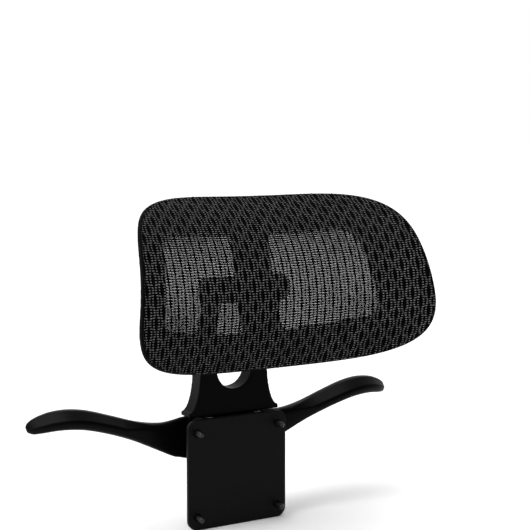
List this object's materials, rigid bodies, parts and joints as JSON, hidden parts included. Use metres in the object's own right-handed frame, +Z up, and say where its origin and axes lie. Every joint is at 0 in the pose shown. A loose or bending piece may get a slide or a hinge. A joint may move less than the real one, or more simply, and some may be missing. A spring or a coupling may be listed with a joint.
{
  "type": "chair headrest attachment",
  "caption": "Mesh headrest for an office chair: curved tilting pad on a forked sliding arm, with a bolt-on bracket and a coat hanger bar behind.",
  "frame": {"origin": "centre of the bracket's flat front face, which is bolted to the back of the chair", "axes": "+Z up, +Y backwards away from the sitter, +X to the right as seen from the sitter's front; the chair mount face looks along -Y"},
  "size_m": [0.4092, 0.1608, 0.3281],
  "materials": {
    "mesh_fabric": "black knitted elastomer mesh",
    "frame_nylon": "fine moulded texture",
    "arm_nylon": "satin moulded black nylon",
    "hanger_nylon": "satin moulded black nylon",
    "inner_nylon": "plain moulded nylon",
    "acetal": "natural acetal",
    "zinc_steel": "zinc plated",
    "black_steel": "black oxide",
    "spring_steel": "blued spring strip"
  },
  "bodies": {
    "bracket": {"bolt_washer_1": "zinc_steel", "bolt_washer_2": "zinc_steel", "bolt_washer_3": "zinc_steel", "bolt_washer_4": "zinc_steel", "coat_hanger": "hanger_nylon", "cover_screw_1": "black_steel", "cover_screw_2": "black_steel", "cover_screw_3": "black_steel", "cover_screw_4": "black_steel", "detent_spring": "spring_steel", "guide_liner_left": "acetal", "guide_liner_right": "acetal", "hanger_screw_1": "black_steel", "hanger_screw_2": "black_steel", "hanger_screw_3": "black_steel", "hanger_screw_4": "black_steel", "mount_bolt_1": "zinc_steel", "mount_bolt_2": "zinc_steel", "mount_bolt_3": "zinc_steel", "mount_bolt_4": "zinc_steel", "mount_bracket": "inner_nylon", "rear_cover": "arm_nylon", "spring_screw": "black_steel"},
    "arm": {"detent_rack": "acetal", "end_cap_left": "arm_nylon", "end_cap_right": "arm_nylon", "friction_washer_left": "acetal", "friction_washer_right": "acetal", "pin_nut": "zinc_steel", "pivot_pin": "zinc_steel", "rack_screw_1": "black_steel", "rack_screw_2": "black_steel", "spring_washer": "zinc_steel", "stop_block": "inner_nylon", "stop_screw": "black_steel", "yoke": "arm_nylon"},
    "pad": {"hinge_block": "inner_nylon", "hinge_screw_1": "black_steel", "hinge_screw_2": "black_steel", "hinge_screw_3": "black_steel", "hinge_screw_4": "black_steel", "hoop_screw_1": "black_steel", "hoop_screw_2": "black_steel", "hoop_screw_3": "black_steel", "hoop_screw_4": "black_steel", "hoop_screw_5": "black_steel", "hoop_screw_6": "black_steel", "knuckle_bush_left": "acetal", "knuckle_bush_right": "acetal", "mesh_cover": "mesh_fabric", "mesh_hoop": "frame_nylon", "pad_frame": "frame_nylon"}
  },
  "joints": [
    {"name": "height_slide", "type": "slide", "parent": "bracket", "child": "arm", "axis": [0, 0, 1], "range_m": [0, 0.05]},
    {"name": "pad_tilt", "type": "hinge", "parent": "arm", "child": "pad", "pos_m": [0, -0.013, 0.182], "axis": [1, 0, 0], "range_deg": [-20, 25]}
  ]
}
